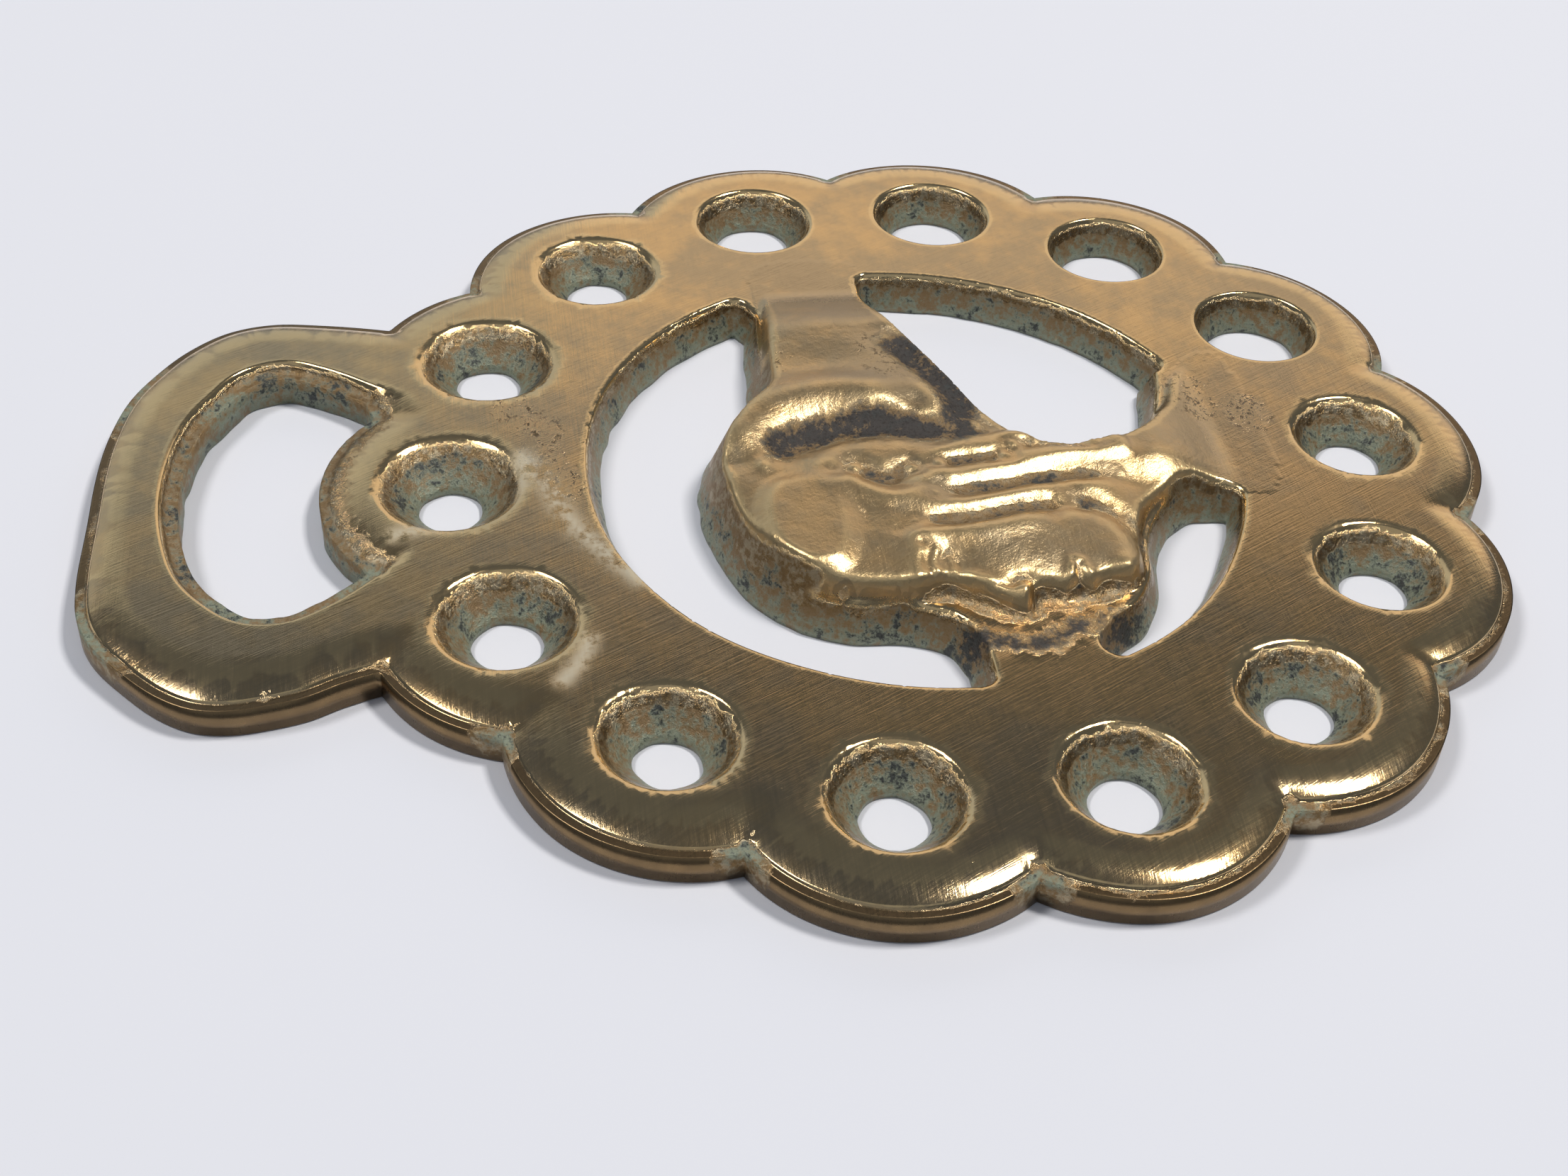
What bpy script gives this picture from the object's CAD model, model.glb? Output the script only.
"""Horse brass: one flat casting, polished on its front and dark in its recesses, lying on its back.

The file is laid out as a Blender add-on. Sizes and colours are properties, one operator casts the
brass and one sets the stage. Outlines are worked out in millimetres from the ring's centre.
"""

import math

import bpy
import numpy as np
from bpy.props import FloatProperty, FloatVectorProperty, IntProperty, PointerProperty
from mathutils import Color, Matrix, Vector, geometry, kdtree


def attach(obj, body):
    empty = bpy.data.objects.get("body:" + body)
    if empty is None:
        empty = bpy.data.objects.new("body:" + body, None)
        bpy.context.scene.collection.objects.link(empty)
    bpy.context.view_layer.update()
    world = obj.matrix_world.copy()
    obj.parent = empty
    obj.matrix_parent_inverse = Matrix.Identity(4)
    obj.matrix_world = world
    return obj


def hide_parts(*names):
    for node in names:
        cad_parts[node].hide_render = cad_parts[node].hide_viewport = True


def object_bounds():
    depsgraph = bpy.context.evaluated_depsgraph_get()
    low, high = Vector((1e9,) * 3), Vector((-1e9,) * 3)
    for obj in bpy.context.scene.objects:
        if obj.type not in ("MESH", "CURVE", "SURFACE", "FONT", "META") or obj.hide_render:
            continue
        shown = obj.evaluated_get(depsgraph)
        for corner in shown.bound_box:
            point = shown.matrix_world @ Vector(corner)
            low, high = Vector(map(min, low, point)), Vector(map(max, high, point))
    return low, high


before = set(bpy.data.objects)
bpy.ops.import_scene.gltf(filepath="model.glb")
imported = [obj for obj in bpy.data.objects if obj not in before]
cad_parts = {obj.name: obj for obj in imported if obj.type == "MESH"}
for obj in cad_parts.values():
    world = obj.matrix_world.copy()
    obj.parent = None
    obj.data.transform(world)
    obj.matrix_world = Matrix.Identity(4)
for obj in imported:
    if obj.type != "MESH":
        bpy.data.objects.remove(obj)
CAD_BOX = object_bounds()

bl_info = {
    "name": "Horse brass",
    "version": (1, 0, 0),
    "blender": (4, 5, 0),
    "location": "3D View > Sidebar > Horse brass",
    "description": "Casts a scalloped horse brass with a head in its pierced centre",
    "category": "Object",
}

MM = 0.001
CASTING_NODE = "brass_casting"
STEP = 0.3  # millimetres from point to point along an outline

# Holes are counted clockwise from the one under the loop, which is 0. Added radius in millimetres.

WIDE_RIMS = {13: 0.3, 0: 0.4, 1: 0.3}
WIDE_THROATS = {3: 0.5, 4: 0.65, 5: 1.1, 6: 0.95}

# Outlines of the casting, as [x, y] in units of the hole circle's radius, and the middles of the
# places where the outer edge is worn away furthest.

BROAD_WEAR = ((-0.75, 0.95), (-0.62, 1.5), (-1.1, 0.45))
LOOP_OUTLINE = (
    (0.56, 1.0), (0.605, 1.13), (0.635, 1.27), (0.645, 1.38), (0.62, 1.475), (0.555, 1.56), (0.465, 1.63),
    (0.37, 1.683), (0.24, 1.718), (0.1, 1.735), (-0.08, 1.74), (-0.24, 1.738), (-0.34, 1.727),
    (-0.41, 1.7), (-0.48, 1.65), (-0.565, 1.57), (-0.608, 1.5), (-0.62, 1.43), (-0.613, 1.36),
    (-0.597, 1.29), (-0.565, 1.22), (-0.54, 1.14), (-0.52, 1.0), (0, 0.9),
)
SLOT_OUTLINE = (
    (0.24, 1.09), (0.345, 1.2), (0.405, 1.29), (0.428, 1.35), (0.4, 1.42), (0.33, 1.47), (0.25, 1.515),
    (0.14, 1.545), (0.0, 1.557), (-0.13, 1.543), (-0.235, 1.513), (-0.305, 1.465), (-0.357, 1.405),
    (-0.365, 1.34), (-0.335, 1.275), (-0.28, 1.205), (-0.2, 1.13), (0, 1.05),
)
OVER_CROWN = (
    (-0.6, 0.0), (-0.53, 0.03), (-0.492, 0.11), (-0.478, 0.22), (-0.425, 0.325), (-0.33, 0.405),
    (-0.2, 0.455), (-0.05, 0.475), (0.07, 0.455), (0.17, 0.395), (0.25, 0.335), (0.38, 0.318),
    (0.5, 0.308), (0.565, 0.3),
)
BEHIND_NECK = (
    (0.635, -0.01), (0.55, -0.03), (0.4, -0.09), (0.25, -0.155), (0.12, -0.21), (0.04, -0.265),
    (0.015, -0.35), (0.04, -0.45), (0.1, -0.52), (0.2, -0.565), (0.3, -0.59),
)
UNDER_CHIN = (
    (-0.17, -0.635), (-0.17, -0.58), (-0.235, -0.51), (-0.32, -0.465), (-0.42, -0.44), (-0.5, -0.39),
    (-0.555, -0.325), (-0.6, -0.28),
)

# The head stands on school proportions: eyes halfway down, the foot of the nose two thirds of the
# way from brow to chin, the mouth a third of the way from there.

HEAD_TOP = 0.465
HEAD_HEIGHT = 0.875
FOREHEAD = -0.465


def face_level(share):
    """Height on the face, from the crown (0) to the chin (1)."""
    return HEAD_TOP - share * HEAD_HEIGHT


EYE = face_level(0.5)
NOSE_FOOT = face_level(0.7)
MOUTH = face_level(0.81)

CROWN = (
    (0.2, 0.37), (0.12, 0.42), (0.0, 0.455), (-0.12, 0.46), (-0.24, 0.435), (-0.35, 0.38),
    (-0.425, 0.295), (-0.455, 0.2),
)
NAPE = (
    (0.27, -0.64), (0.13, -0.57), (0.06, -0.48), (0.03, -0.37), (0.035, -0.27), (0.1, -0.22),
    (0.22, -0.165), (0.36, -0.1), (0.5, -0.04), (0.62, 0.0),
)
PEAK_TOP = ((0.62, 0.27), (0.45, 0.29), (0.3, 0.315))
HEAD_OUTLINE = (
    *CROWN, (FOREHEAD, 0.13), (-0.47, face_level(0.44)),
    (-0.457, EYE), (-0.482, face_level(0.56)), (-0.533, face_level(0.655)),
    (-0.528, face_level(0.69)), (-0.487, face_level(0.725)), (-0.494, face_level(0.775)),
    (-0.486, MOUTH), (-0.489, face_level(0.845)), (-0.472, face_level(0.89)),
    (-0.47, face_level(0.95)), (-0.425, face_level(1)), (-0.34, -0.43), (-0.25, -0.465),
    (-0.19, -0.53), (-0.165, -0.62), (-0.17, -0.76), (0.34, -0.76), *NAPE,
    (0.76, 0.02), (0.76, 0.26), *PEAK_TOP,
)
# The same without brow, nose and lips: the head swells inwards from here.
SKULL_OUTLINE = (
    *CROWN, (-0.465, 0.1), (-0.465, 0.0), (-0.47, -0.1), (-0.47, -0.22),
    (-0.46, -0.33), (-0.41, -0.42), (-0.34, -0.46), (-0.25, -0.5), (-0.2, -0.6), (-0.2, -0.8),
    (0.34, -0.8), *NAPE, (0.8, 0.02), (0.8, 0.26), *PEAK_TOP,
)

# Round swellings and hollows of the head: middle, reach each way, and height in millimetres.
CROWN_SWELL = ((0.14, 0.08), (0.28, 0.24), 0.35)
SOFT_FORMS = (
    ((-0.37, -0.13), (0.08, 0.1), 0.3),  # cheek
    ((-0.41, EYE), (0.055, 0.036), -0.5),  # eye socket
    ((-0.405, EYE), (0.027, 0.018), 0.38),  # eye
    ((-0.485, NOSE_FOOT + 0.022), (0.024, 0.02), 0.3),  # wing of the nose
    ((-0.44, -0.355), (0.042, 0.036), 0.32),  # chin
    ((0.28, 0.17), (0.09, 0.1), -0.35),  # hollow of the cap
)

# Places of the head that rubbing or the pattern's maker left flat: height above the ring's face
# in millimetres, the width of the slope round it, then its outline.

FLATS = (
    (2.05, 1.6, (-0.4, 0.34), (-0.31, 0.385), (-0.18, 0.385), (-0.1, 0.335), (-0.09, 0.24), (-0.13, 0.175),
     (-0.22, 0.155), (-0.33, 0.165), (-0.405, 0.205), (-0.425, 0.28)),
    (2.0, 1.1, (-0.155, 0.07), (-0.09, 0.055), (-0.02, -0.03), (0.02, -0.12), (0.025, -0.25),
     (0.005, -0.38), (-0.02, -0.46), (-0.09, -0.46), (-0.115, -0.3), (-0.15, -0.15), (-0.175, -0.02)),
)

# Carved lines of the head: half width and height in millimetres, a groove where the height is
# negative, then the points of an open curve. Each line fades out towards its ends.

FACE_LINES = (
    (0.85, 0.3, (-0.465, 0.078), (-0.41, 0.082), (-0.34, 0.058)),
    (1.0, 0.4, (-0.452, 0.03), (-0.475, -0.045), (-0.51, -0.115)),
    (0.28, 0.25, (-0.442, EYE), (-0.417, EYE + 0.02), (-0.378, EYE + 0.012), (-0.352, EYE - 0.006)),
    (0.24, 0.14, (-0.437, EYE - 0.013), (-0.41, EYE - 0.021), (-0.374, EYE - 0.011)),
    (0.3, -0.25, (-0.47, NOSE_FOOT + 0.05), (-0.452, NOSE_FOOT + 0.02), (-0.468, NOSE_FOOT - 0.01)),
    (0.4, 0.22, (-0.495, MOUTH + 0.028), (-0.46, MOUTH + 0.018), (-0.42, MOUTH + 0.003)),
    (0.22, -0.26, (-0.49, MOUTH), (-0.458, MOUTH - 0.001), (-0.42, MOUTH - 0.003)),
    (0.42, 0.22, (-0.487, MOUTH - 0.028), (-0.458, MOUTH - 0.025), (-0.427, MOUTH - 0.01)),
    (1.1, -0.45, (-0.42, -0.435), (-0.32, -0.405), (-0.25, -0.345), (-0.225, -0.26)),
)
HAIR_LINES = (
    (1.1, 0.35, (-0.1, 0.2), (-0.165, 0.15), (-0.2, 0.09), (-0.19, 0.04), (-0.15, -0.02)),
    (1.0, -0.4, (-0.09, 0.15), (-0.125, 0.09), (-0.1, 0.03)),
    (1.2, 0.4, (-0.3, 0.1), (-0.32, 0.0), (-0.31, -0.12), (-0.28, -0.24)),
    (0.8, -0.4, (-0.275, 0.06), (-0.27, -0.06), (-0.25, -0.18), (-0.23, -0.3)),
    (1.1, 0.35, (-0.235, 0.09), (-0.23, -0.02), (-0.205, -0.16), (-0.19, -0.3)),
    (0.8, -0.45, (-0.195, 0.0), (-0.175, -0.14), (-0.15, -0.27), (-0.14, -0.42)),
    (0.7, -0.45, (-0.09, -0.03), (-0.08, -0.1), (-0.075, -0.18)),
    (0.7, -0.45, (-0.04, -0.2), (-0.035, -0.29), (-0.045, -0.38)),
)
CAP_LINES = (
    (1.5, -0.8, (-0.07, 0.34), (0.0, 0.27), (0.045, 0.16), (0.05, 0.05), (0.035, -0.04), (0.055, -0.13)),
    (2.1, 0.7, (-0.05, 0.405), (0.05, 0.385), (0.13, 0.32), (0.165, 0.23), (0.17, 0.14), (0.14, 0.05),
     (0.12, -0.02)),
    (1.2, -0.7, (0.05, -0.14), (0.16, -0.11), (0.28, -0.05), (0.38, 0.01)),
    (1.0, 0.35, (0.1, -0.185), (0.25, -0.125), (0.42, -0.06), (0.58, 0.01)),
)

# Patches and streaks of the finish, in the same units: where the skin is pitted, as
# (middle, reach); where it is gritty or dried polish has stayed, as (half width in millimetres, curve).

PITTED = (((0.17, -0.66), (0.1, 0.07)), ((0.1, -0.78), (0.08, 0.06)), ((0.1, 0.8), (0.13, 0.06)),
          ((0.24, 0.86), (0.08, 0.05)), ((-0.02, 0.75), (0.07, 0.04)), ((0.31, 0.25), (0.05, 0.03)),
          ((0.3, 0.04), (0.1, 0.05)))
GRITTY = (
    (1.2, (0.01, 0.3), (0.05, 0.2), (0.07, 0.08), (0.04, -0.04)),
    (1.5, (0.03, -0.1), (0.12, -0.11), (0.24, -0.07), (0.36, -0.01)),
    (1.2, (-0.49, 0.36), (-0.53, 0.24), (-0.54, 0.1), (-0.57, 0.0), (-0.6, -0.12), (-0.56, -0.22),
     (-0.54, -0.32)),
)
CHALKY = (
    (0.8, (-0.34, 0.63), (-0.24, 0.7), (-0.14, 0.76), (-0.04, 0.79), (0.06, 0.83)),
    (0.7, (-0.16, 1.12), (-0.1, 0.95), (-0.02, 0.86), (0.08, 0.84)),
    (0.6, (-0.62, 0.8), (-0.56, 0.76), (-0.5, 0.74)),
)


# ---- sizes and colours -------------------------------


def size(name, description, millimetres):
    """A length that a user can change."""
    return FloatProperty(name=name, description=description, default=millimetres * MM, unit="LENGTH",
                         precision=5, min=0.0)


def colour(name, description, value):
    """A colour that a user can change."""
    return FloatVectorProperty(name=name, description=description, default=value, subtype="COLOR",
                               size=3, min=0.0, max=1.0)


class BrassSizes(bpy.types.PropertyGroup):
    """Sizes of the casting."""

    hole_circle: size("Hole circle", "Radius of the circle through the hole centres", 30.0)
    thickness: size("Thickness", "Ring and loop, from the back to the front face", 2.6)
    lobe_offset: size("Lobe offset", "From the ring's centre to the centre of a lobe's arc", 27.6)
    lobe_radius: size("Lobe radius", "Of a lobe at its foot, where the brass is widest", 10.6)
    edge_drop: size("Edge drop", "How far the worn edge falls below the front face", 0.85)
    edge_wear: size("Edge wear", "Width over which the face falls away to the edge", 3.0)
    foot: size("Foot", "Height of the upright foot of every wall", 0.3)
    opening_radius: size("Opening radius", "Of the pierced centre, at the back", 20.5)
    hole_rim: size("Hole rim", "Radius of a countersink at the front face", 4.25)
    hole_throat: size("Hole throat", "Radius of a hole at the back", 2.1)
    head_wall: size("Head wall", "Height of the head's steep side above the ring's face", 1.0)
    head_swell: size("Head swell", "How much higher the head is inside its sides", 0.7)
    head_round: size("Head round", "Width over which the head swells", 5.5)
    waviness: size("Waviness", "How far the outlines stray from true curves", 0.16)
    lobe_count: IntProperty(name="Lobes", description="Lobes and holes round the ring", default=14, min=3)


class BrassColours(bpy.types.PropertyGroup):
    """Colours of the casting's finish."""

    polished: colour("Polished", "Bare brass kept bright by rubbing", (0.71, 0.48, 0.23))
    rubbed: colour("Rubbed", "The brightest brass, on worn corners", (0.88, 0.64, 0.32))
    tarnished: colour("Tarnished", "Dull film on the less rubbed face", (0.42, 0.34, 0.22))
    brown_film: colour("Brown film", "Old brown skin on the edges and in the recesses", (0.26, 0.17, 0.08))
    edge_brown: colour("Edge brown", "Brown skin on the outer wall", (0.17, 0.11, 0.055))
    verdigris: colour("Verdigris", "Grey-green bloom in the recesses", (0.27, 0.3, 0.22))
    soot: colour("Soot", "Blue-black dirt in the deepest corners", (0.035, 0.036, 0.04))
    chalk: colour("Chalk", "Dried polish", (0.6, 0.56, 0.44))
    floor: colour("Floor", "The paper that the brass lies on", (0.86, 0.87, 0.93))


# ---- curves ------------------------------------------


def spaced(points, closed, step):
    """The polyline's points again, about `step` apart."""
    line = np.vstack([points, points[:1]]) if closed else points
    reach = np.concatenate([[0], np.cumsum(np.linalg.norm(np.diff(line, axis=0), axis=1))])
    count = max(3, round(reach[-1] / step))
    places = np.linspace(0, reach[-1], count, endpoint=not closed)
    return np.stack([np.interp(places, reach, line[:, axis]) for axis in (0, 1)], axis=1)


def smooth_curve(points, closed, step):
    """Centripetal curve through the points, as a polyline with a point about every `step`."""
    through = np.asarray(points, dtype=float)
    if closed:
        guide = np.vstack([through[-1:], through, through[:2]])
    else:
        guide = np.vstack([2 * through[:1] - through[1:2], through, 2 * through[-1:] - through[-2:-1]])
    t = np.linspace(0, 1, 24, endpoint=False)[:, None]
    bends = []
    for before, start, end, after in zip(guide, guide[1:], guide[2:], guide[3:]):
        a, b, c = (math.sqrt(np.linalg.norm(q - p)) for p, q in
                   ((before, start), (start, end), (end, after)))
        leave = b * ((start - before) / a - (end - before) / (a + b) + (end - start) / b)
        arrive = b * ((end - start) / b - (after - start) / (b + c) + (after - end) / c)
        bends.append((2 * t**3 - 3 * t**2 + 1) * start + (t**3 - 2 * t**2 + t) * leave
                     + (3 * t**2 - 2 * t**3) * end + (t**3 - t**2) * arrive)
    if not closed:
        bends.append(through[-1:])
    return spaced(np.vstack(bends), closed, step)


def arc(centre, radius, start, end, step):
    """Points along an arc between two angles."""
    count = max(2, round(abs(end - start) * radius / step))
    angles = np.linspace(start, end, count)
    return np.asarray(centre) + radius * np.stack([np.cos(angles), np.sin(angles)], axis=1)


def turned_left(outline):
    """The outline in anticlockwise order."""
    x, y = outline.T
    area = np.sum(x * np.roll(y, -1) - y * np.roll(x, -1))
    return outline if area > 0 else outline[::-1]


def one_run(outline, kept):
    """The kept points of a closed outline, which lie side by side, from the first to the last."""
    start = np.flatnonzero(kept & ~np.roll(kept, 1))[0]
    return np.roll(outline, -start, axis=0)[np.roll(kept, -start)]


class Line:
    """A polyline that says how far points are from it and on which side they lie."""

    def __init__(self, points, closed):
        self.points = points
        self.closed = closed
        self.tree = kdtree.KDTree(len(points))
        for index, (x, y) in enumerate(points):
            self.tree.insert((x, y, 0), index)
        self.tree.balance()

    def nearest(self, xy):
        return np.array([self.tree.find((x, y, 0))[1] for x, y in xy])

    def distance(self, xy):
        index = self.nearest(xy)
        last = len(self.points) - 1
        best = np.full(len(xy), np.inf)
        for step in (-1, 1):
            other = (index + step) % (last + 1) if self.closed else np.clip(index + step, 0, last)
            start = self.points[index]
            way = self.points[other] - start
            length = np.maximum(np.sum(way * way, axis=1), 1e-12)
            share = np.clip(np.sum((xy - start) * way, axis=1) / length, 0, 1)
            gap = xy - start - share[:, None] * way
            best = np.minimum(best, np.linalg.norm(gap, axis=1))
        return best

    def contains(self, xy):
        inside = np.zeros(len(xy), dtype=bool)
        x, y = xy.T
        for (ax, ay), (bx, by) in zip(self.points, np.roll(self.points, -1, axis=0)):
            crossing = (ay > y) != (by > y)
            if crossing.any():
                at = ax + (bx - ax) * (y - ay) / (by - ay if by != ay else 1e-12)
                inside ^= crossing & (x < at)
        return inside


def beside(xy, path):
    """Distance from each point to a short open path, and to the nearer of its ends."""
    best = np.full(len(xy), np.inf)
    for start, end in zip(path, path[1:]):
        way = end - start
        share = np.clip((xy - start) @ way / (way @ way), 0, 1)
        best = np.minimum(best, np.linalg.norm(xy - start - share[:, None] * way, axis=1))
    ends = np.minimum(*(np.linalg.norm(xy - end, axis=1) for end in (path[0], path[-1])))
    return best, ends


# ---- blending ----------------------------------------


def ramp(start, end, value):
    """Smooth step from 0 at `start` to 1 at `end`."""
    t = np.clip((value - start) / (end - start), 0, 1)
    return t * t * (3 - 2 * t)


def soft_min(a, b, width):
    """The lower of two heights, with the corner between them rounded over `width`."""
    t = np.clip(0.5 + 0.5 * (b - a) / width, 0, 1)
    return b * (1 - t) + a * t - width * t * (1 - t)


def soft_max(a, b, width):
    return -soft_min(-a, -b, width)


def swells(xy, pitch, seed):
    """Smooth random field from -1 to 1, with about `pitch` millimetres from swell to swell."""
    grid = xy / pitch
    cell = np.floor(grid)
    t = grid - cell
    t = t * t * (3 - 2 * t)

    def corner(across, up):
        spot = np.sin((cell[:, 0] + across) * 127.1 + (cell[:, 1] + up) * 311.7 + seed * 74.7) * 43758.5453
        return 2 * (spot - np.floor(spot)) - 1

    low = corner(0, 0) * (1 - t[:, 0]) + corner(1, 0) * t[:, 0]
    high = corner(0, 1) * (1 - t[:, 0]) + corner(1, 1) * t[:, 0]
    return low * (1 - t[:, 1]) + high * t[:, 1]


def bump(u, v, at, reach, height):
    """A round swelling at `at`, `reach` wide each way."""
    return height * np.exp(-((u - at[0]) / reach[0]) ** 2 - ((v - at[1]) / reach[1]) ** 2)


# ---- the casting's plan ------------------------------


class Plan:
    """The casting seen from the front: its outlines, in millimetres from the ring's centre."""

    def __init__(self, sizes):
        for name in ("hole_circle", "thickness", "lobe_offset", "lobe_radius", "edge_drop", "edge_wear",
                     "foot", "opening_radius", "hole_rim", "hole_throat", "head_wall", "head_swell",
                     "head_round", "waviness"):
            setattr(self, name, getattr(sizes, name) / MM)
        self.lobe_count = sizes.lobe_count
        self.lobe_centres = [self.on_ring(number, self.lobe_offset) for number in range(self.lobe_count)]
        self.hole_centres = [self.on_ring(number, self.hole_circle) for number in range(self.lobe_count)]
        wobble = np.random.default_rng(14).uniform(-0.08, 0.08, (self.lobe_count, 2))
        self.rims = [self.hole_rim + WIDE_RIMS.get(number, 0) + wobble[number, 0]
                     for number in range(self.lobe_count)]
        self.throats = [self.hole_throat + WIDE_THROATS.get(number, 0) + wobble[number, 1]
                        for number in range(self.lobe_count)]
        self.loop, self.slot, self.head, self.skull = (
            Line(turned_left(smooth_curve(self.scaled(outline), True, STEP)), True)
            for outline in (LOOP_OUTLINE, SLOT_OUTLINE, HEAD_OUTLINE, SKULL_OUTLINE))
        self.openings = [self.opening(side) for side in (OVER_CROWN, BEHIND_NECK, UNDER_CHIN)]
        lobes = turned_left(self.lobed_edge())
        bars, slot = self.loop.points, self.slot.points
        self.outer = self.joined(one_run(bars, ~self.in_lobes(bars)),
                                 one_run(lobes, ~self.loop.contains(lobes)))
        self.slot_edge = self.joined(one_run(slot, ~self.in_lobes(slot)),
                                     one_run(lobes, self.slot.contains(lobes))[::-1])

    def scaled(self, points):
        return np.asarray(points) * self.hole_circle

    def on_ring(self, number, radius):
        """Place of a lobe or hole, counted clockwise from the one under the loop, which is 0."""
        angle = math.pi / 2 - 2 * math.pi * number / self.lobe_count
        return radius * np.array([math.cos(angle), math.sin(angle)])

    def lobed_edge(self):
        """The ring's scalloped edge: for each lobe, its arc between the two notches."""
        half = math.pi / self.lobe_count
        across = self.lobe_offset * math.sin(half)
        reach = math.atan2(across, math.sqrt(self.lobe_radius**2 - across**2)) + half
        arcs = []
        for number, centre in enumerate(self.lobe_centres):
            middle = math.pi / 2 - 2 * half * number
            arcs.append(arc(centre, self.lobe_radius, middle + reach, middle - reach, STEP)[:-1])
        return np.vstack(arcs)

    def in_lobes(self, xy):
        nearest = np.min([np.linalg.norm(xy - centre, axis=1) for centre in self.lobe_centres], axis=0)
        return nearest < self.lobe_radius

    def opening(self, side):
        """A side along the head, closed by an arc of the opening circle."""
        along = smooth_curve(self.scaled(side), False, STEP)
        start = math.atan2(*along[-1][::-1])
        turn = (math.atan2(*along[0][::-1]) - start) % (2 * math.pi)
        round_part = arc((0, 0), self.opening_radius, start, start + turn, STEP)
        return Line(turned_left(spaced(np.vstack([along, round_part]), True, STEP)), True)

    @staticmethod
    def joined(first, second):
        """One closed outline out of a run of one and the run of another that closes it."""
        return Line(np.vstack([first, second]), True)


# ---- height of the front -----------------------------


class Front:
    """Height of the front surface over the plan, with masks for the finish."""

    # Rise of the walls for each millimetre inward.
    WALL_SLOPE, SLOT_SLOPE, OPENING_SLOPE = 2.7, 2.0, 2.5
    # Rounding of the corners at the openings and the slot, at the outer edge, and in the notches.
    CRISP, EDGE_CRISP, NOTCH_CRISP = 0.16, 0.08, 0.12
    # Fall of the face towards the worn edge: its power, how its width varies, and over what pitch,
    # then how much wider it is in the broad places, and how far round them.
    EDGE_FALL, WEAR_CHANGE, WEAR_PITCH, BROAD_EXTRA, BROAD_REACH = 2.5, 0.25, 17, 1.1, 8
    # How far the relief lies under the ring's face outside the head, and its drop at the neck.
    SINK, NECK_DROP = 0.7, 0.6
    # Height and pitch of the swells in the face and of the rough skin in the recesses.
    FACE_SWELL, COARSE_SKIN, FINE_SKIN = (0.02, 11), (0.05, 0.9), (0.035, 0.45)
    # How much of the recesses' green skin the notches get.
    NOTCH_GREEN = 0.8

    def __init__(self, plan):
        self.plan = plan
        self.flats = [(level, border, Line(smooth_curve(plan.scaled(points), True, STEP), True))
                      for level, border, *points in FLATS]
        self.carving = [(width, height, smooth_curve(plan.scaled(points), False, 0.5))
                        for width, height, *points in (*FACE_LINES, *HAIR_LINES, *CAP_LINES)]

    def edge(self, inward, wear):
        """Worn edge: a steep wall, then a soft fall of the face over the width `wear`."""
        plan = self.plan
        wall = plan.foot + inward * self.WALL_SLOPE
        face = plan.thickness - plan.edge_drop * np.clip(1 - inward / wear, 0, 1) ** self.EDGE_FALL
        return soft_min(wall, face, self.EDGE_CRISP)

    def wear(self, xy):
        """Width over which the face falls to the outer edge, widest where hands and straps rubbed."""
        plan = self.plan
        width = plan.edge_wear * (1 + self.WEAR_CHANGE * swells(xy, self.WEAR_PITCH, 5))
        for middle in BROAD_WEAR:
            away = np.linalg.norm(xy - plan.scaled(middle), axis=1)
            width = width + self.BROAD_EXTRA * np.exp(-(away / self.BROAD_REACH) ** 2)
        return width

    def ring(self, xy):
        """Height of the scalloped ring, before anything is cut out of it."""
        plan = self.plan
        wear = self.wear(xy)
        height = self.edge(plan.lobe_offset - np.linalg.norm(xy, axis=1), wear)
        for centre in plan.lobe_centres:
            lobe = self.edge(plan.lobe_radius - np.linalg.norm(xy - centre, axis=1), wear)
            height = soft_max(height, lobe, self.NOTCH_CRISP)
        return np.minimum(height, plan.thickness)

    def loop(self, xy):
        """Height of the strap loop before its slot is cut, and -1 outside it."""
        plan = self.plan
        inside = plan.loop.contains(xy)
        inward = np.where(inside, plan.loop.distance(xy), 0)
        return np.where(inside, self.edge(inward, self.wear(xy)), -1)

    def carved(self, xy):
        """Height that the carved lines add, and how deep in grooves each point lies."""
        height, groove = np.zeros(len(xy)), np.zeros(len(xy))
        for width, full, path in self.carving:
            away, to_end = beside(xy, path)
            length = np.linalg.norm(path[0] - path[-1])
            stroke = np.exp(-(away / width) ** 2) * ramp(0, 0.3 * length, to_end + 0.06 * length)
            height += full * stroke
            if full < 0:
                groove = np.maximum(groove, stroke)
        return height, groove

    def head(self, xy):
        """Height above the ring's face, below it outside the head, and how sheltered each point is."""
        plan = self.plan
        u, v = (xy / plan.hole_circle).T
        inside = plan.head.contains(xy)
        inward = plan.head.distance(xy)
        under_skin = np.where(plan.skull.contains(xy), plan.skull.distance(xy), 0)
        swell = 1 - np.minimum(under_skin / plan.head_round, 1)
        height = plan.head_wall * ramp(0, 1.0, inward) + plan.head_swell * np.sqrt(1 - swell * swell)
        height += bump(u, v, *CROWN_SWELL)
        height -= self.NECK_DROP * ramp(-0.34, -0.46, v) * ramp(-0.08, -0.18, u)
        for level, border, outline in self.flats:
            share = np.where(outline.contains(xy), ramp(0, border, outline.distance(xy)), 0)
            height = height * (1 - share) + level * share
        for form in SOFT_FORMS:
            height += bump(u, v, *form)
        lines, groove = self.carved(xy)
        merge = ramp(-0.7, -0.5, v) * ramp(0.66, 0.42, u)
        height = (height + lines) * merge * ramp(-0.05, 0.9, inward)
        return np.where(inside, height, -self.SINK), np.where(inside, groove, 0) * merge

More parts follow.
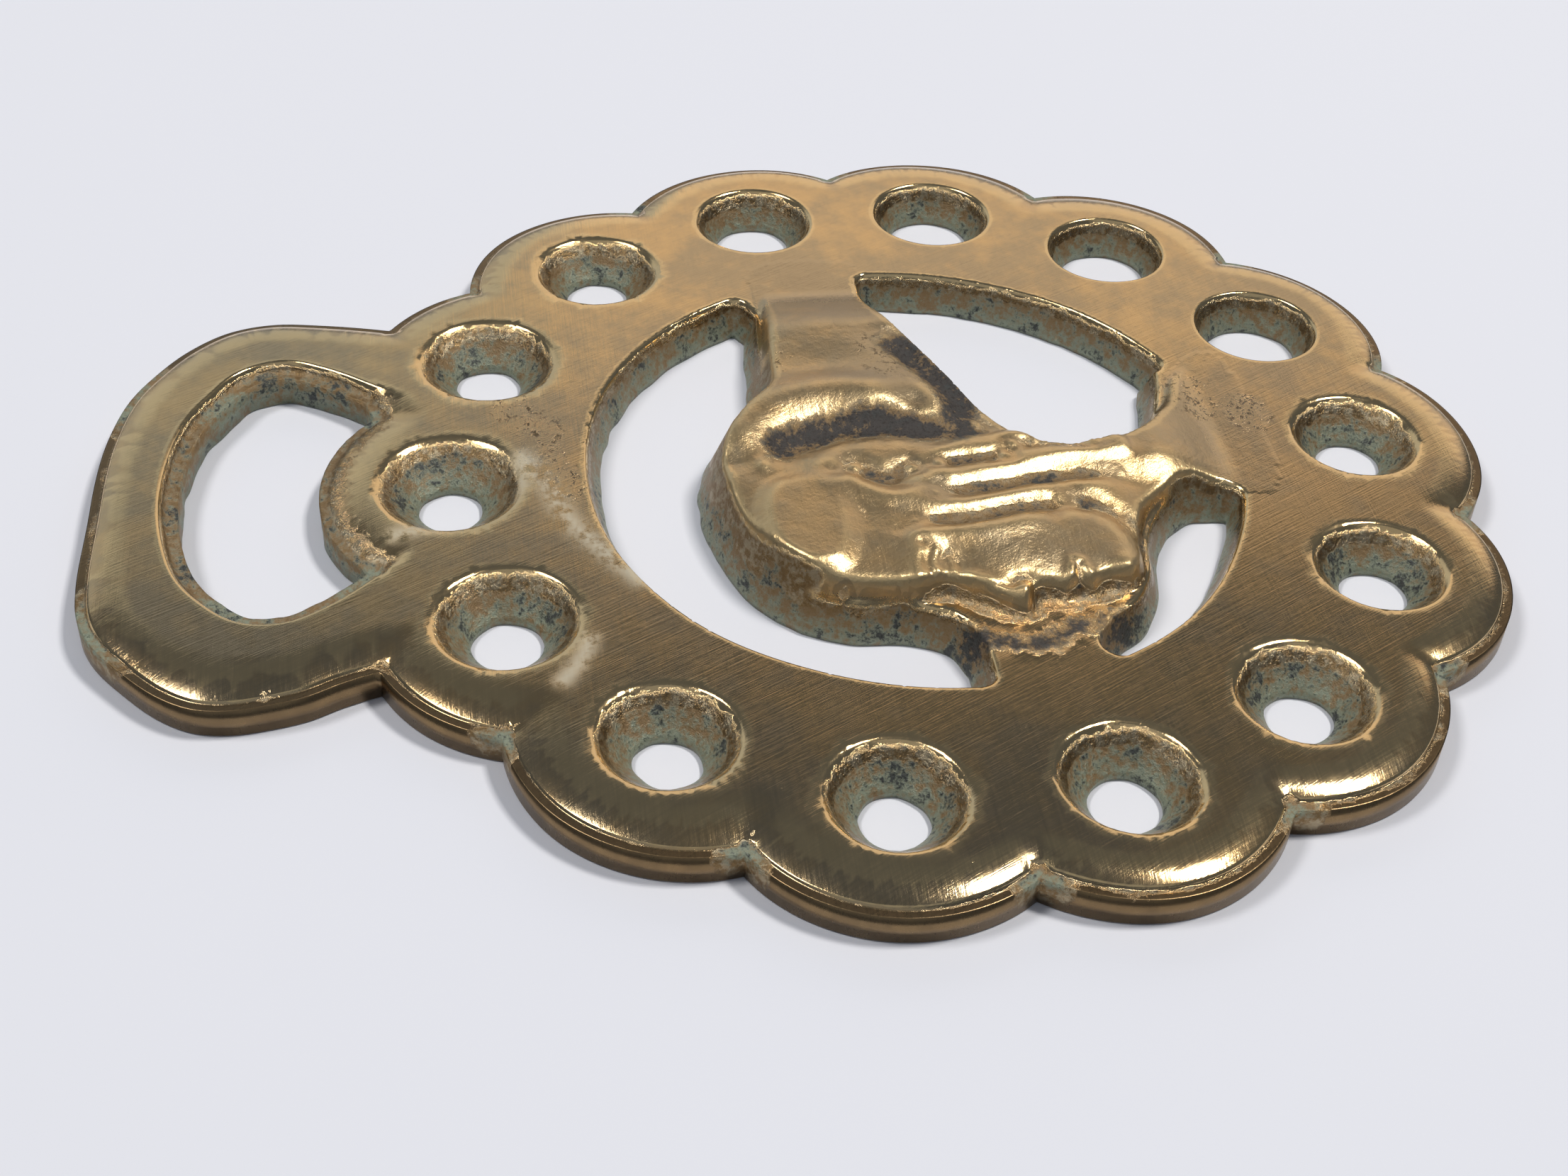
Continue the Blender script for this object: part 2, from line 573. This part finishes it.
    def cones(self, xy):
        """Height of the nearest countersink's wall."""
        plan = self.plan
        walls = np.full(len(xy), np.inf)
        for number, centre in enumerate(plan.hole_centres):
            rim, throat = plan.rims[number], plan.throats[number]
            share = (np.linalg.norm(xy - centre, axis=1) - throat) / (rim - throat)
            walls = np.minimum(walls, plan.foot + (plan.thickness - plan.foot) * share)
        return walls

    def surface(self, xy):
        """Height of the front, and masks from 0 to 1 for the finish."""
        plan = self.plan
        ring, loop = self.ring(xy), self.loop(xy)
        beyond_slot = np.where(plan.slot.contains(xy), -1, 1) * plan.slot.distance(xy)
        slot_wall = plan.foot + beyond_slot * self.SLOT_SLOPE
        whole = np.maximum(ring, loop)
        plate = np.maximum(ring, soft_min(loop, slot_wall, self.CRISP))
        plate = plate + self.skin(xy, self.FACE_SWELL, 2)
        near_head = np.linalg.norm(xy, axis=1) < 0.85 * plan.hole_circle
        relief, deep = np.full(len(xy), -self.SINK), np.zeros(len(xy))
        relief[near_head], deep[near_head] = self.head(xy[near_head])
        uncut = np.maximum(plate, plan.thickness + relief)
        walls = self.cones(xy)
        for opening in plan.openings:
            walls = np.minimum(walls, plan.foot + opening.distance(xy) * self.OPENING_SLOPE)
        height = soft_min(uncut, walls, self.CRISP)
        depth = np.clip((np.maximum(whole, uncut) - height) / (plan.thickness - plan.foot), 0, 1)
        film = ramp(0.6, 1.0, plan.thickness - plate) * (relief < 0)
        masks = {
            "depth": np.maximum(depth, self.NOTCH_GREEN * film * self.cleft(xy)),
            "dirt": deep,
            "film": film,
            "carving": ramp(-0.2, 0.5, relief),
            **self.patches(xy),
        }
        rough = np.maximum(ramp(0.05, 0.3, depth), np.maximum(deep, masks["gritty"]))
        height = height + rough * (self.skin(xy, self.COARSE_SKIN, 7) + self.skin(xy, self.FINE_SKIN, 8))
        return np.maximum(height, plan.foot), masks

    @staticmethod
    def skin(xy, size_and_pitch, seed):
        height, pitch = size_and_pitch
        return height * swells(xy, pitch, seed)

    def cleft(self, xy):
        """1 in the notches between two lobes, where no cloth reaches, and 0 elsewhere."""
        away = np.sort([np.linalg.norm(xy - centre, axis=1) for centre in self.plan.lobe_centres], axis=0)
        return ramp(2.2, 0.6, away[1] - away[0])

    def patches(self, xy):
        """Where the skin is pitted or gritty, and where dried polish has stayed."""
        u, v = (xy / self.plan.hole_circle).T
        pitted = np.max([bump(u, v, middle, reach, 1) for middle, reach in PITTED], axis=0)
        return {"pitted": pitted, "gritty": self.streaked(xy, GRITTY), "chalk": self.streaked(xy, CHALKY)}

    def streaked(self, xy, streaks):
        """1 in the middle of the streaks, fading to 0 beside them."""
        found = np.zeros(len(xy))
        for width, *points in streaks:
            away, _ = beside(xy, smooth_curve(self.plan.scaled(points), False, 1.0))
            found = np.maximum(found, np.exp(-(away / width) ** 2))
        return found


# ---- mesh --------------------------------------------


def offset(outline, distance):
    """The outline moved to its left by `distance`."""
    way = np.roll(outline, -1, axis=0) - np.roll(outline, 1, axis=0)
    way /= np.linalg.norm(way, axis=1)[:, None]
    return outline + distance * np.stack([-way[:, 1], way[:, 0]], axis=1)


def honeycomb(low, high, pitch):
    """Points of a triangular grid over a rectangle."""
    across = np.arange(low[0], high[0], pitch)
    up = np.arange(low[1], high[1], pitch * math.sqrt(3) / 2)
    x, y = np.meshgrid(across, up)
    x[::2] += pitch / 2
    return np.stack([x.ravel(), y.ravel()], axis=1)


class Sheet:
    """Triangulates the casting's plan: outlines, rows beside them, and a grid between."""

    # Distances of the rows from their outline; the last are shares of a hole's cone.
    OUTER_ROWS = (0.12, 0.28, 0.44, 0.54, 0.61, 0.67, 0.73, 0.82, 0.96, 1.16, 1.42, 1.75, 2.2)
    SLOT_ROWS = (0.15, 0.4, 0.7, 0.95, 1.1, 1.22, 1.36, 1.6, 2.0)
    OPENING_ROWS = (0.15, 0.4, 0.65, 0.82, 0.93, 1.05, 1.2, 1.35, 1.5, 1.7)
    CONE_ROWS = (0.1, 0.3, 0.5, 0.7, 0.86, 0.95, 1.02, 1.1, 1.25)

    # Pitches of the grid in the head, over the rest of the front, and on the back.
    FINE, COARSE, BACK = 0.2, 0.4, 1.5

    def __init__(self, plan):
        self.plan = plan
        self.loops = [turned_left(plan.outer.points), turned_left(plan.slot_edge.points)[::-1]]
        self.rows = [self.OUTER_ROWS, self.SLOT_ROWS]
        for opening in plan.openings:
            self.loops.append(turned_left(opening.points)[::-1])
            self.rows.append(self.OPENING_ROWS)
        for centre, rim, throat in zip(plan.hole_centres, plan.rims, plan.throats):
            self.loops.append(arc(centre, throat, 2 * math.pi, 0, STEP)[:-1])
            self.rows.append([share * (rim - throat) for share in self.CONE_ROWS])
        self.edges = self.tree(np.vstack(self.loops))

    @staticmethod
    def tree(points):
        found = kdtree.KDTree(len(points))
        for index, (x, y) in enumerate(points):
            found.insert((x, y, 0), index)
        found.balance()
        return found

    @staticmethod
    def clearance(xy, tree):
        """Distance from each point to the nearest of a set."""
        return np.array([tree.find((x, y, 0))[2] for x, y in xy])

    def inside(self, xy):
        """Whether each point lies in the brass and not in a hole, the slot or an opening."""
        within = Line(self.loops[0], True).contains(xy)
        for loop in self.loops[1:]:
            within &= ~Line(loop, True).contains(xy)
        return within

    def constraints(self):
        """Edges of all the outlines, by the numbers of their points."""
        found, start = [], 0
        for loop in self.loops:
            found += [(start + i, start + (i + 1) % len(loop)) for i in range(len(loop))]
            start += len(loop)
        return found

    def joined_up(self, points):
        """Points and triangles of the plan; the outlines' points come first and keep their order."""
        found = geometry.delaunay_2d_cdt([Vector(p) for p in points], self.constraints(), [], 0, 1e-7, True)
        faces = np.array(found[2])
        spots = np.array([tuple(p) for p in found[0]])
        rim_only = (faces < sum(len(loop) for loop in self.loops)).all(axis=1)
        drop = np.zeros(len(faces), dtype=bool)
        drop[np.flatnonzero(rim_only)] = ~self.inside(spots[faces[rim_only]].mean(axis=1))
        return spots, faces[~drop]

    def triangulate(self):
        """Points and triangles of the front."""
        kept = [np.vstack(self.loops)]
        for loop, rows in zip(self.loops, self.rows):
            for distance in rows:
                row = offset(loop, distance)
                kept.append(row[self.clearance(row, self.edges) > 0.95 * distance])
        laid = self.tree(np.vstack(kept))
        low, high = self.loops[0].min(axis=0), self.loops[0].max(axis=0)
        for pitch, near in ((self.FINE, True), (self.COARSE, False)):
            grid = honeycomb(low, high, pitch)
            in_head = np.linalg.norm(grid, axis=1) < 0.75 * self.plan.hole_circle
            grid = grid[in_head == near]
            grid = grid[self.clearance(grid, laid) > 0.7 * pitch]
            kept.append(grid[self.inside(grid)])
        return self.joined_up(np.vstack(kept))


def tessellate(plan):
    """All points, faces and masks of the closed casting, in millimetres from the ring's centre."""
    sheet = Sheet(plan)
    flat, faces = sheet.triangulate()
    height, masks = Front(plan).surface(flat)
    masks["proud"] = proud(height, faces, 4)  # sharp corners
    masks["sunk"] = -proud(height, faces, 30)  # broad hollows
    points, triangles = [np.column_stack([flat, height])], [faces]
    count, start, feet = len(flat), 0, []
    shares = [masks]
    for number, loop in enumerate(sheet.loops):
        above = np.arange(start, start + len(loop))
        below = np.arange(count, count + len(loop))
        start += len(loop)
        count += len(loop)
        points.append(np.column_stack([loop, np.zeros(len(loop))]))
        shares.append({"film" if number == 0 else "depth": np.ones(len(loop))})
        next_above, next_below = np.roll(above, -1), np.roll(below, -1)
        triangles.append(np.column_stack([above, below, next_below]))
        triangles.append(np.column_stack([above, next_below, next_above]))
        feet.append((below, loop))
    ids, back = underside(sheet, feet, count)
    points.append(back)
    shares.append({"film": np.full(len(back), 0.5)})
    triangles.append(ids)
    points, triangles = np.vstack(points), np.vstack(triangles)
    whole = {name: np.concatenate([share.get(name, np.zeros(len(rows)))
                                   for share, rows in zip(shares, split_like(points, shares))])
             for name in masks}
    return wavy(points, whole["depth"], plan), triangles, whole


def proud(height, faces, rounds):
    """How far each point stands above its surroundings, in millimetres, from rounds of averaging."""
    start = faces.ravel()
    end = np.roll(faces, -1, axis=1).ravel()
    number = np.bincount(start, minlength=len(height)) + np.bincount(end, minlength=len(height))
    level = height
    for _ in range(rounds):
        total = np.bincount(start, level[end], len(height)) + np.bincount(end, level[start], len(height))
        level = total / np.maximum(number, 1)
    return height - level


def split_like(points, shares):
    """The points again in the groups that the masks are in."""
    sizes = [len(next(iter(share.values()))) for share in shares]
    return np.split(points, np.cumsum(sizes)[:-1])


def wavy(points, depth, plan):
    """The points moved a little sideways, so that outlines waver and the feet of walls are ragged."""
    flat = points[:, :2]
    stray = plan.waviness * np.column_stack([swells(flat, 9, 21), swells(flat, 9, 22)])
    ragged = 0.1 * np.column_stack([swells(flat, 1.3, 23), swells(flat, 1.3, 24)])
    low = (ramp(0.1, 0.5, depth) * ramp(1.6, 0.2, points[:, 2]))[:, None]
    moved = points.copy()
    moved[:, :2] += stray + ragged * low
    return moved


def underside(sheet, feet, count):
    """Faces of the back between the feet of the walls, and the points added inside it."""
    rim = np.vstack([row for _, row in feet])
    rim_ids = np.concatenate([index for index, _ in feet])
    grid = honeycomb(rim.min(axis=0), rim.max(axis=0), sheet.BACK)
    grid = grid[sheet.clearance(grid, sheet.edges) > 0.6 * sheet.BACK]
    grid = grid[sheet.inside(grid)]
    _, faces = sheet.joined_up(np.vstack([rim, grid]))
    ids = np.concatenate([rim_ids, np.arange(count, count + len(grid))])
    back = np.column_stack([grid, 0.04 * (1 + swells(grid, 6, 3))])
    return ids[faces][:, ::-1], back


# ---- shading -----------------------------------------


class Signal:
    """A shader socket that can stand in a sum like a number."""

    def __init__(self, shader, socket):
        self.shader = shader
        self.socket = socket

    def math(self, operation, first, second):
        return self.shader.node("ShaderNodeMath", {"operation": operation}, {0: first, 1: second})

    def __add__(self, other):
        return self.math("ADD", self, other)

    def __radd__(self, other):
        return self.math("ADD", other, self)

    def __sub__(self, other):
        return self.math("SUBTRACT", self, other)

    def __rsub__(self, other):
        return self.math("SUBTRACT", other, self)

    def __mul__(self, other):
        return self.math("MULTIPLY", self, other)

    def __rmul__(self, other):
        return self.math("MULTIPLY", other, self)

    def between(self, low, high):
        """0 below `low`, 1 above `high`, smooth between."""
        return self.shader.node(
            "ShaderNodeMapRange", {"interpolation_type": "SMOOTHSTEP"},
            {"Value": self, "From Min": low, "From Max": high})


class Shader:
    """Node tree of one material."""

    def __init__(self, name):
        self.material = bpy.data.materials.new(name)
        self.material.use_nodes = True
        self.tree = self.material.node_tree
        self.surface = self.tree.nodes["Principled BSDF"]

    def node(self, kind, settings, values, output=0):
        """One node: its settings first, then a number or a link for each socket named."""
        node = self.tree.nodes.new(kind)
        for name, value in settings.items():
            setattr(node, name, value)
        for socket, value in values.items():
            self.plug(value, node.inputs[socket])
        return Signal(self, node.outputs[output])

    def plug(self, value, socket):
        if isinstance(value, Signal):
            self.tree.links.new(value.socket, socket)
        elif isinstance(value, Color):
            socket.default_value = (*value, 1.0)
        else:
            socket.default_value = value

    def mix(self, share, first, second):
        """A colour between two, by a share from 0 to 1."""
        return self.node("ShaderNodeMix", {"data_type": "RGBA"}, {0: share, 6: first, 7: second}, 2)

    def noise(self, place, scale, detail=3.0, roughness=0.55, stretch=None):
        if stretch:
            place = self.node("ShaderNodeMapping", {}, {"Vector": place, "Scale": stretch})
        return self.node("ShaderNodeTexNoise", {}, {"Vector": place, "Scale": scale, "Detail": detail,
                                                    "Roughness": roughness})

    def turned(self, place, degrees):
        turn = (0, 0, math.radians(degrees))
        return self.node("ShaderNodeMapping", {}, {"Vector": place, "Rotation": turn})

    def mask(self, name):
        return self.node("ShaderNodeAttribute", {"attribute_name": name}, {}, 2)


def cast_brass(colours):
    """Polished brass with tarnish, dirt in its recesses and a sandy skin where no cloth reaches."""
    shader = Shader("cast_brass")
    place = shader.node("ShaderNodeTexCoord", {}, {}, 3)
    place = shader.node("ShaderNodeVectorMath", {"operation": "SCALE"}, {0: place, "Scale": 1 / MM})
    depth, deep, film = shader.mask("depth"), shader.mask("dirt"), shader.mask("film")
    carving = shader.mask("carving")
    gritty, pitted, chalk = shader.mask("gritty"), shader.mask("pitted"), shader.mask("chalk")
    worn = shader.mask("proud").between(0.004, 0.03)
    sunk = shader.mask("sunk").between(0.03, 0.16)
    broad = shader.noise(place, 0.07, 3)
    blotch = shader.noise(place, 0.45, 5, 0.6)
    grain = shader.noise(place, 1.7, 5, 0.7)
    sand = shader.noise(place, 4.5, 3, 0.75)
    scratch_one = shader.noise(place, 2.2, 3, 0.7, (0.08, 2.8, 1.0))
    scratch_two = shader.noise(shader.turned(place, 62), 2.4, 3, 0.75, (0.06, 3.2, 1.0))
    scratches = scratch_one * 0.5 + scratch_two * 0.5

    tarnish = (broad * 0.6 + blotch * 0.4 + carving * 0.04).between(0.4, 0.62)
    face = shader.mix(tarnish * 0.7, colours.polished, colours.tarnished)
    face = shader.mix(film * (0.7 + blotch * 0.3), face, colours.edge_brown)
    face = shader.mix(worn * 0.6, face, colours.rubbed)

    uneven = (blotch - 0.5) * 0.9 + (grain - 0.5) * 0.9
    hollow = deep * 0.45 + sunk * 0.5 + gritty * 0.7
    rough = (depth * 3.5 + hollow + uneven).between(0.3, 0.7)
    crusted = (depth * 0.85 + hollow * 0.65 + gritty * 0.25 + uneven * 0.8).between(0.3, 0.75)
    bare = shader.mix(grain.between(0.42, 0.6), colours.brown_film, colours.tarnished)
    green = (blotch * 0.4 + grain * 0.6 + depth * 0.16).between(0.52, 0.68)
    crust = shader.mix(green, colours.brown_film, colours.verdigris)
    soot = (blotch * 0.42 + grain * 0.4 + sand * 0.18 + hollow * 0.05 + gritty * 0.08).between(0.54, 0.62)
    crust = shader.mix(soot * 0.9, crust, colours.soot)
    face = shader.mix(rough, face, bare)
    face = shader.mix(crusted, face, crust)

    pits = (grain * 0.55 + sand * 0.45).between(0.52, 0.6)
    pits = pits * (pitted + (broad - 0.6) * 0.4).between(0.25, 0.6)
    face = shader.mix(pits * 0.85, face, colours.edge_brown)
    powder = chalk * (grain * 0.5 + blotch * 0.5).between(0.38, 0.55) * (1 - rough)
    face = shader.mix(powder * 0.7, face, colours.chalk)

    shader.plug(face, shader.surface.inputs["Base Color"])
    sparks = sand.between(0.5, 0.66)
    shader.plug(0.97 - crusted * (0.75 - sparks * 0.6) - powder * 0.7, shader.surface.inputs["Metallic"])
    shader.plug(0.15 + (blotch - 0.5) * 0.12 + (scratches - 0.5) * 0.26 + rough * 0.12 + crusted * 0.16
                + film * 0.15 + powder * 0.3 + carving * 0.17, shader.surface.inputs["Roughness"])
    relief = (grain * (0.04 + rough * 0.8 + carving * 0.3) + blotch * carving * 1.2
              + sand * (0.02 + rough * 0.8 + carving * 0.12) + scratches * 0.2 - pits * 0.3)
    normal = shader.node("ShaderNodeBump", {}, {"Strength": 0.6, "Distance": 0.00014, "Height": relief})
    shader.plug(normal, shader.surface.inputs["Normal"])
    return shader.material


def paper(colours):
    shader = Shader("paper")
    shader.plug(colours.floor, shader.surface.inputs["Base Color"])
    shader.plug(0.9, shader.surface.inputs["Roughness"])
    shader.plug(0.2, shader.surface.inputs["Specular IOR Level"])
    return shader.material


# ---- operators ---------------------------------------


def ring_centre(plan):
    """The ring's centre on the floor, from the casting's box in the frame."""
    low, high = (Vector(corner) for corner in CAD_BOX)
    reach = (plan.lobe_offset + plan.lobe_radius) * MM
    return Vector(((low.x + high.x) / 2, low.y + reach, low.z))


def mesh_object(name, points, faces, masks):
    mesh = bpy.data.meshes.new(name)
    mesh.from_pydata(points.tolist(), [], faces.tolist())
    mesh.validate()
    mesh.polygons.foreach_set("use_smooth", [True] * len(mesh.polygons))
    for mask, values in masks.items():
        mesh.attributes.new(mask, "FLOAT", "POINT").data.foreach_set("value", values)
    piece = bpy.data.objects.new(name, mesh)
    bpy.context.collection.objects.link(piece)
    return piece


class OBJECT_OT_cast_horse_brass(bpy.types.Operator):
    """Cast the scalloped brass, with its loop, holes, openings and head"""

    bl_idname = "object.cast_horse_brass"
    bl_label = "Cast the brass"

    def execute(self, context):
        plan = Plan(context.scene.brass_sizes)
        points, faces, masks = tessellate(plan)
        centre = ring_centre(plan)
        placed = points * MM + np.array(centre)
        piece = mesh_object("horse_brass", placed, faces, masks)
        piece.data.materials.append(cast_brass(context.scene.brass_colours))
        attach(piece, "root")
        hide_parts(CASTING_NODE)
        return {"FINISHED"}


def light(name, place, aim, power, tint, reach):
    """A flat lamp at `place` that shines at `aim`."""
    lamp = bpy.data.lights.new(name, "AREA")
    lamp.energy = power
    lamp.color = tint
    lamp.shape = "RECTANGLE"
    lamp.size, lamp.size_y = reach
    stand = bpy.data.objects.new(name, lamp)
    stand.location = place
    stand.rotation_euler = (Vector(aim) - Vector(place)).to_track_quat("-Z", "Y").to_euler()
    bpy.context.collection.objects.link(stand)
    return stand


def around(centre, azimuth, elevation, distance):
    """A point seen from `centre` in a direction given in degrees from +X and above the floor."""
    turn, lift = math.radians(azimuth), math.radians(elevation)
    way = Vector((math.cos(turn) * math.cos(lift), math.sin(turn) * math.cos(lift), math.sin(lift)))
    return centre + distance * way


class OBJECT_OT_set_brass_stage(bpy.types.Operator):
    """Set the floor, the lights and the camera round the brass"""

    bl_idname = "object.set_brass_stage"
    bl_label = "Set the stage"

    FLOOR_HALF, FLOOR_LEVEL = 1.5, -0.0001
    # Direction, distance and height of the pale wall behind the brass.
    WALL_AZIMUTH, WALL_ELEVATION, WALL_DISTANCE, WALL_HEIGHT = 3, 23.7, 1.1, 0.652
    LAMP_DISTANCE = 1.2
    # The camera's aim and distance in radii of the hole circle, then its angles in degrees.
    AIM, CAMERA_DISTANCE = (-0.3933, 0.3453, 0), 4.451
    CAMERA_AZIMUTH, CAMERA_ELEVATION, CAMERA_ROLL = 169.377, 41.317, 3.583

    def execute(self, context):
        plan = Plan(context.scene.brass_sizes)
        circle = plan.hole_circle * MM
        face = ring_centre(plan) + Vector((0, 0, plan.thickness * MM))
        self.add_floor(context, face)
        self.add_lights(context, face)
        self.add_camera(context, face, circle)
        return {"FINISHED"}

    def add_floor(self, context, face):
        half = self.FLOOR_HALF
        corners = [(face.x + x * half, face.y + y * half, self.FLOOR_LEVEL) for x, y in
                   ((-1, -1), (1, -1), (1, 1), (-1, 1))]
        mesh = bpy.data.meshes.new("floor")
        mesh.from_pydata(corners, [], [(0, 1, 2, 3)])
        floor = bpy.data.objects.new("floor", mesh)
        floor.data.materials.append(paper(context.scene.brass_colours))
        context.collection.objects.link(floor)

    def add_lights(self, context, face):
        world = bpy.data.worlds.new("room")
        world.use_nodes = True
        world.node_tree.nodes["Background"].inputs["Color"].default_value = (0.62, 0.76, 1.0, 1)
        world.node_tree.nodes["Background"].inputs["Strength"].default_value = 0.13
        context.scene.world = world
        context.scene.view_settings.view_transform = "Standard"
        sideways = around(Vector((0, 0, 0)), self.WALL_AZIMUTH + 90, 0, 1)
        self.add_panel("warm_wall", face, sideways * -0.65, 1.9, (1.0, 0.87, 0.74), 1.25)
        self.add_panel("cool_wall", face, sideways * 0.42, 0.95, (0.84, 0.92, 1.0), 0.95)
        for name, azimuth, elevation, power, tint, reach in (
                ("lamp", -84, 63, 7.5, (1.0, 0.97, 0.92), (0.2, 0.2)),
                ("second_lamp", 80, 60, 4.6, (1.0, 0.98, 0.95), (0.3, 0.3)),
                ("soft_box", 165, 52, 1.0, (0.93, 0.97, 1.0), (1.4, 1.0))):
            light(name, around(face, azimuth, elevation, self.LAMP_DISTANCE), face, power, tint, reach)

    def add_panel(self, name, face, shift, power, tint, width):
        """One panel of the pale wall behind the brass; its upper edge is level with the others'."""
        middle = around(face, self.WALL_AZIMUTH, self.WALL_ELEVATION, self.WALL_DISTANCE)
        light(name, middle + shift, face + shift, power, tint, (width, self.WALL_HEIGHT))

    def add_camera(self, context, face, circle):
        aim = face + circle * Vector(self.AIM)
        place = around(aim, self.CAMERA_AZIMUTH, self.CAMERA_ELEVATION, self.CAMERA_DISTANCE * circle)
        lens = bpy.data.cameras.new("camera")
        lens.lens = 50.85
        lens.sensor_width = 36
        lens.clip_start = 0.001
        camera = bpy.data.objects.new("camera", lens)
        camera.location = place
        look = (aim - place).to_track_quat("-Z", "Y").to_matrix().to_4x4()
        roll = Matrix.Rotation(math.radians(self.CAMERA_ROLL), 4, "Z")
        camera.rotation_euler = (look @ roll).to_euler()
        context.collection.objects.link(camera)
        context.scene.camera = camera


class VIEW3D_PT_horse_brass(bpy.types.Panel):
    """Sidebar panel with the brass's sizes, colours and steps"""

    bl_label = "Horse brass"
    bl_idname = "VIEW3D_PT_horse_brass"
    bl_space_type = "VIEW_3D"
    bl_region_type = "UI"
    bl_category = "Horse brass"

    def draw(self, context):
        for group in (context.scene.brass_sizes, context.scene.brass_colours):
            for name in group.__annotations__:
                self.layout.prop(group, name)
        for step in STEPS:
            self.layout.operator(step.bl_idname)


STEPS = (OBJECT_OT_cast_horse_brass, OBJECT_OT_set_brass_stage)
CLASSES = (BrassSizes, BrassColours, *STEPS, VIEW3D_PT_horse_brass)


def register():
    for cls in CLASSES:
        bpy.utils.register_class(cls)
    bpy.types.Scene.brass_sizes = PointerProperty(type=BrassSizes)
    bpy.types.Scene.brass_colours = PointerProperty(type=BrassColours)


def unregister():
    del bpy.types.Scene.brass_colours
    del bpy.types.Scene.brass_sizes
    for cls in reversed(CLASSES):
        bpy.utils.unregister_class(cls)


def main():
    register()
    bpy.ops.object.cast_horse_brass()
    bpy.ops.object.set_brass_stage()


if __name__ == "__main__":
    main()
